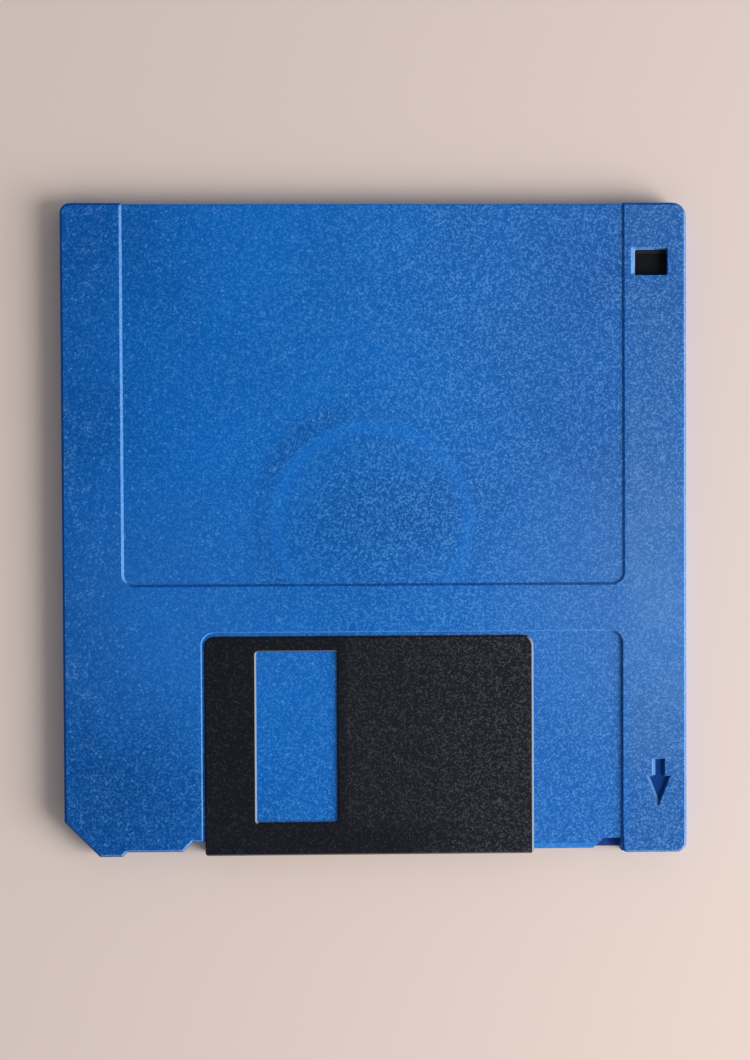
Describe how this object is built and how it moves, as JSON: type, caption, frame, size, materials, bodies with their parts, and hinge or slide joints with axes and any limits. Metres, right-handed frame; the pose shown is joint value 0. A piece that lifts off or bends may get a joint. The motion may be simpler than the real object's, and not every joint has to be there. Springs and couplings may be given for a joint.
{
  "type": "floppy disk",
  "caption": "Flat square storage cartridge with a spring-closed sliding shutter, a write-protect slide, a steel hub and a thin magnetic disk between two moulded shells.",
  "frame": {"origin": "middle of the back face's plane, under the centre of the 90 by 94 mm outline", "axes": "+X along the shutter's opening travel, +Y towards the label end, +Z towards the label side"},
  "size_m": [0.09, 0.094, 0.0033],
  "materials": {
    "case_abs": "spark-eroded matte ABS",
    "shutter_plastic": "fine-grained black moulding",
    "spring_wire": "drawn spring wire",
    "tab_plastic": "matte black moulding",
    "coated_film": "smooth oxide coating",
    "hub_steel": "pressed stainless sheet",
    "adhesive_tape": "tacky film",
    "liner_fabric": "non-woven",
    "lifter_film": "bent polyester strip",
    "wear_plastic": "slippery film"
  },
  "bodies": {
    "case": {"upper_shell": "case_abs", "lower_shell": "case_abs", "shutter_spring": "spring_wire", "upper_liner": "liner_fabric", "lower_liner": "liner_fabric", "liner_lifter": "lifter_film", "hub_wear_disc": "wear_plastic"},
    "shutter_body": {"shutter": "shutter_plastic"},
    "protect_body": {"write_protect_tab": "tab_plastic"},
    "media_body": {"magnetic_disk": "coated_film", "hub": "hub_steel", "hub_adhesive_ring": "adhesive_tape"}
  },
  "joints": [
    {"name": "shutter_slide", "type": "slide", "parent": "case", "child": "shutter_body", "axis": [1, 0, 0], "range_m": [0, 0.012], "stiffness_N_per_m": 20, "springref_m": -0.012, "deforming": ["shutter_spring"]},
    {"name": "write_protect_slide", "type": "slide", "parent": "case", "child": "protect_body", "axis": [0, 1, 0], "range_m": [0, 0.0044]},
    {"name": "disk_spin", "type": "hinge", "parent": "case", "child": "media_body", "pos_m": [0, 0.001, 0.0015], "axis": [0, 0, 1], "continuous": true}
  ]
}
